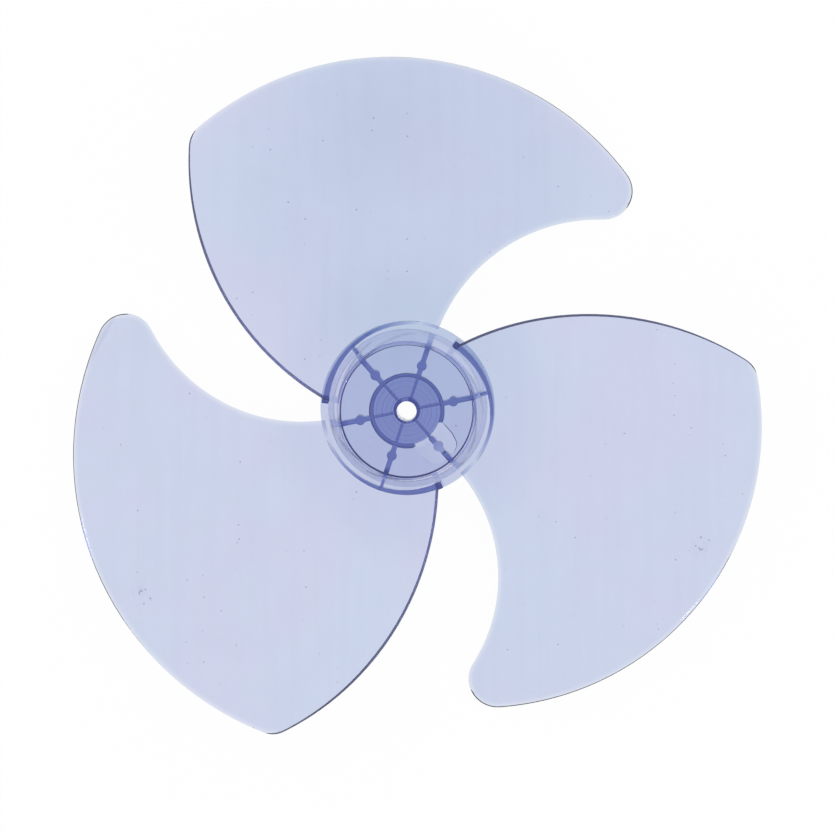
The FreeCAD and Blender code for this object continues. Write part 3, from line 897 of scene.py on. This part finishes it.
# Painted shade darkens the blades' roots round the hub. The same mask gives the top blade a darker, bluer
# tone.
DARKENING_SHARE = 0.10
DARKENED_PLACES = (((0, 0.115), 0.115, 0.06), ((-0.012, 0.145), 0.055, 0.0), ((0, 0), 0.085, 0.05))
darker_tone_and_shade = 0.0
for middle, rim, core in DARKENED_PLACES:
    darkened = fade(tree, distance_to(tree, coords, middle), rim, core)
    darker_tone_and_shade = calculate(tree, "MULTIPLY_ADD", darkened, DARKENING_SHARE, darker_tone_and_shade)
print("masks:", len(tree.nodes), "nodes")

# %% Put the plastic together
BLUE_TINGE = (0.955, 1, 1, 1)
LILAC_TINGE = (1, 0.98, 1, 1)
DARKER_TONE_AND_SHADE = (0.25, 0.5, 0.68, 1)
SOIL = (0.25, 0.27, 0.4, 1)
CUT_ROUGHNESS = 0.5
POLISH = 0.02
HAZE_ROUGHNESS = 0.06
MARK_ROUGHNESS = 0.3
GROOVE_DEPTH = 0.3
PLASTIC_IOR = 1.57
PAINTED_SLANT_SHADE = (0.4, 0.42, 1, 1)
MASK_STRENGTHS = (
    (marks, 0.5), (smears, 0.10), (streak, 0.02), (fold, 0.13), (turning, 0.18), (haze, 0.06),
)
SPECK_STRENGTH = 0.42
soiled = calculate(tree, "MULTIPLY", speck, SPECK_STRENGTH)
for mask, strength in MASK_STRENGTHS:
    soiled = calculate(tree, "MULTIPLY_ADD", mask, strength, soiled)
soiled = calculate(tree, "MINIMUM", calculate(tree, "MAXIMUM", soiled, 0.0), 1.0)
tinge = mix_colours(tree, cloud, BLUE_TINGE, LILAC_TINGE)
tinge = mix_colours(tree, darker_tone_and_shade, tinge, DARKER_TONE_AND_SHADE)
dull_and_shaded_faces = add_node(tree, "Attribute", attribute_name="cut")
# Painted shade: the marked slanted faces are tinted bluer, so the dark lines they draw read navy.
tinge = mix_colours(tree, dull_and_shaded_faces.outputs["Fac"], tinge, PAINTED_SLANT_SHADE)
surface = tree.nodes["Principled BSDF"]
wire(tree, mix_colours(tree, soiled, tinge, SOIL), surface.inputs["Base Color"])
roughness = calculate(tree, "MULTIPLY_ADD", haze, HAZE_ROUGHNESS, POLISH)
roughness = calculate(tree, "MULTIPLY_ADD", marks, MARK_ROUGHNESS, roughness)
roughness = calculate(tree, "MULTIPLY_ADD", dull_and_shaded_faces.outputs["Fac"], CUT_ROUGHNESS, roughness)
wire(tree, roughness, surface.inputs["Roughness"])
surface.inputs["IOR"].default_value = PLASTIC_IOR
surface.inputs["Transmission Weight"].default_value = 1
grooves = calculate(tree, "MULTIPLY_ADD", turning, GROOVE_DEPTH, calculate(tree, "ADD", haze, marks))
bump = add_node(tree, "Bump", Strength=0.15, Distance=0.05 * MM)
wire(tree, grooves, bump.inputs["Height"])
wire(tree, bump.outputs[0], surface.inputs["Normal"])
DEPTH_COLOUR = (0.10, 0.22, 0.68, 1)
DEPTH_DENSITY = 240
absorb = add_node(tree, "VolumeAbsorption", Color=DEPTH_COLOUR, Density=DEPTH_DENSITY)
print("absorption per metre:", [round(DEPTH_DENSITY * (1 - x)) for x in DEPTH_COLOUR[:3]])

# %% Let lamp light through, and dress the part
path = add_node(tree, "LightPath")
SHADOW_TINGE = (0.62, 0.68, 0.87, 1)
lamp_way = add_node(tree, "BsdfTransparent", Color=SHADOW_TINGE)
mix = add_node(tree, "MixShader")
wire(tree, path.outputs["Is Shadow Ray"], mix.inputs[0])
wire(tree, surface.outputs[0], mix.inputs[1])
wire(tree, lamp_way.outputs[0], mix.inputs[2])
output = tree.nodes["Material Output"]
wire(tree, mix.outputs[0], output.inputs["Surface"])
wire(tree, absorb.outputs[0], output.inputs["Volume"])
hub.data.materials.clear()
hub.data.materials.append(plastic)
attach(hub, "root")
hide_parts(NODE)
print("dressed:", hub.name)

# %% [markdown]
# ## A white table
# The part lies on white paper. Clear plastic shows what is behind it, so the paper has to look evenly white
# straight on, in reflections and through the plastic. Light Path tells those rays from the ones that carry
# light about, and the paper stays a plain matt sheet for them, with the part's soft shadow on it.

# %% Paper
PAPER_GLOW = 0.97
PAPER_GAP = 0.2 * MM
bpy.ops.mesh.primitive_plane_add(size=6, location=(0, 0, cad_low.z - PAPER_GAP))
floor = name_new("floor")
paper = bpy.data.materials.new("white_paper")
paper.use_nodes = True
tree = paper.node_tree
tree.nodes.remove(tree.nodes["Principled BSDF"])
path = add_node(tree, "LightPath")
seen = calculate(tree, "MAXIMUM", path.outputs["Is Camera Ray"], path.outputs["Is Glossy Ray"])
seen = calculate(tree, "MAXIMUM", seen, path.outputs["Is Transmission Ray"])
mix = add_node(tree, "MixShader")
wire(tree, calculate(tree, "MULTIPLY", seen, PAPER_GLOW), mix.inputs[0])
wire(tree, add_node(tree, "BsdfDiffuse", Color=(0.95, 0.95, 0.95, 1)).outputs[0], mix.inputs[1])
wire(tree, add_node(tree, "Emission").outputs[0], mix.inputs[2])
wire(tree, mix.outputs[0], tree.nodes["Material Output"].inputs["Surface"])
floor.data.materials.append(paper)
print("paper at", round(floor.location.z / MM, 1), "mm")

# %% [markdown]
# ## Studio light
# A pale, even surround lights everything softly. Two narrow lamps on both sides point at the hub alone and
# add small glints on its rounded corners. Wide lamps would draw white lines along the blades' edges too.

# %% World and lamps
world = bpy.data.worlds.new("studio")
bpy.context.scene.world = world
world.use_nodes = True
sky = world.node_tree.nodes["Background"]
sky.inputs["Color"].default_value = (1, 1, 1, 1)
LAMP_DISTANCE = 1.2
LAMP_HEIGHT = 0.5
LAMP_RADIUS = 0.09
LAMP_POWER = 60
LAMP_CONE = math.radians(4.6)
LAMP_BLEND = 0.5
SKY_STRENGTH = 0.9
sky.inputs["Strength"].default_value = SKY_STRENGTH
for name, degrees in (("right", 25), ("left", 159)):
    place = polar(LAMP_DISTANCE, degrees).to_3d() + Vector((0, 0, LAMP_HEIGHT))
    bpy.ops.object.light_add(type="SPOT", location=place)
    lamp = bpy.context.object
    lamp.name = "lamp_" + name
    lamp.data.shadow_soft_size = LAMP_RADIUS
    lamp.data.spot_size = LAMP_CONE
    lamp.data.spot_blend = LAMP_BLEND
    lamp.data.energy = LAMP_POWER
    lamp.rotation_euler = (-place).to_track_quat("-Z", "Y").to_euler()
    print(lamp.name, "at", [round(x, 2) for x in place])

# %% [markdown]
# ## The camera
# The picture was taken nearly square on and from far away. The scale, the shaft's place in the picture and
# the small tilt come from the hub's front corner and bore, and a very long lens keeps the view flat.
# Light goes to and fro many times inside clear walls, so it is followed further than usual.

# %% Camera
FRAME_PIXELS = 833
PIXELS_PER_METRE = 1980.5
ORIGIN_PIXEL = (406.6, 411.3)
TO_CAMERA = Vector((0.03, 0.094, 1)).normalized()
LENS = 600
SENSOR = 36
width = FRAME_PIXELS / PIXELS_PER_METRE
distance = width * LENS / SENSOR
bpy.ops.object.camera_add()
camera = bpy.context.object
camera.data.lens = LENS
camera.data.sensor_width = SENSOR
camera.data.clip_end = 100
right = Vector((0, 1, 0)).cross(TO_CAMERA).normalized()
up = TO_CAMERA.cross(right)
middle = FRAME_PIXELS / 2
aim = (right * (middle - ORIGIN_PIXEL[0]) - up * (middle - ORIGIN_PIXEL[1])) / PIXELS_PER_METRE
camera.location = aim + TO_CAMERA * distance
camera.rotation_euler = Matrix((right, up, TO_CAMERA)).transposed().to_euler()
bpy.context.scene.camera = camera
bpy.context.scene.view_settings.view_transform = "Standard"
LIGHT_BOUNCES = 24
bpy.context.scene.cycles.max_bounces = LIGHT_BOUNCES
bpy.context.scene.cycles.glossy_bounces = LIGHT_BOUNCES
bpy.context.scene.cycles.transmission_bounces = LIGHT_BOUNCES
print("camera", round(distance, 2), "m away")
